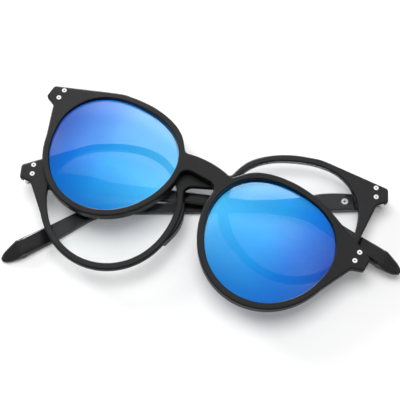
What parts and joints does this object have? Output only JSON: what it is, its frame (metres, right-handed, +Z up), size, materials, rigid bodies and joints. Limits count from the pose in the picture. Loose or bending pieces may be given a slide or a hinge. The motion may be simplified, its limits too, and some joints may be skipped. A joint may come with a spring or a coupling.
{
  "type": "magnetic clip-on glasses",
  "caption": "Optical glasses with folding temples and a magnetic sun clip with tinted mirrored lenses that snaps onto their front.",
  "frame": {"origin": "on the surface that it lies on, under the middle of the whole part's box", "axes": "+X across the width, from the wearer's right to the wearer's left, +Y towards the brow, +Z up, out of the front"},
  "size_m": [0.1473, 0.085, 0.0155],
  "materials": {
    "frame_plastic": "soft matte charcoal",
    "clip_plastic": "soft matte charcoal",
    "temple_plastic": "soft matte charcoal",
    "clear_lens": "clear, polished",
    "mirror_lens": "blue mirror coating over a tint",
    "hinge_steel": "satin",
    "screw_steel": "bright",
    "rivet_steel": "polished heads",
    "stud_steel": "polished heads",
    "magnet_nickel": "nickel plated"
  },
  "bodies": {
    "frame": {"frame_front": "frame_plastic", "left_clear_lens": "clear_lens", "right_clear_lens": "clear_lens", "frame_left_upper_rivet": "rivet_steel", "frame_left_lower_rivet": "rivet_steel", "frame_right_upper_rivet": "rivet_steel", "frame_right_lower_rivet": "rivet_steel", "left_frame_hinge": "hinge_steel", "right_frame_hinge": "hinge_steel", "left_hinge_screw": "screw_steel", "right_hinge_screw": "screw_steel"},
    "right_arm": {"right_temple": "temple_plastic", "right_temple_hinge": "hinge_steel", "right_temple_screw": "screw_steel"},
    "left_arm": {"left_temple": "temple_plastic", "left_temple_hinge": "hinge_steel", "left_temple_screw": "screw_steel"},
    "clip_pivot": {"clip_left_upper_magnet": "magnet_nickel"},
    "clip": {"clip_front": "clip_plastic", "left_mirror_lens": "mirror_lens", "right_mirror_lens": "mirror_lens", "clip_left_upper_stud": "stud_steel", "clip_left_lower_stud": "stud_steel", "clip_right_upper_stud": "stud_steel", "clip_right_lower_stud": "stud_steel", "clip_left_lower_magnet": "magnet_nickel", "clip_right_upper_magnet": "magnet_nickel", "clip_right_lower_magnet": "magnet_nickel"}
  },
  "joints": [
    {"name": "right_temple_fold", "type": "hinge", "parent": "frame", "child": "right_arm", "pos_m": [0.06554, 0.00684, 0.0044], "axis": [0, -1, 0], "range_deg": [0, 88]},
    {"name": "left_temple_fold", "type": "hinge", "parent": "frame", "child": "left_arm", "pos_m": [-0.06622, 0.00684, 0.00765], "axis": [0, 1, 0], "range_deg": [0, 91]},
    {"name": "clip_slide", "type": "slide", "parent": "frame", "child": "clip_pivot", "axis": [-0.2457, -0.9693, 0.0061], "range_m": [-0.09, 0.03232]},
    {"name": "clip_swing", "type": "hinge", "parent": "clip_pivot", "child": "clip", "pos_m": [-0.05655, 0.04047, 0.01286], "axis": [0.0247, 0, 0.9997], "range_deg": [0, 27.2]}
  ],
  "couplings": [
    {"joint": "left_temple_fold", "follows": "right_temple_fold", "ratio": 0.18}
  ]
}
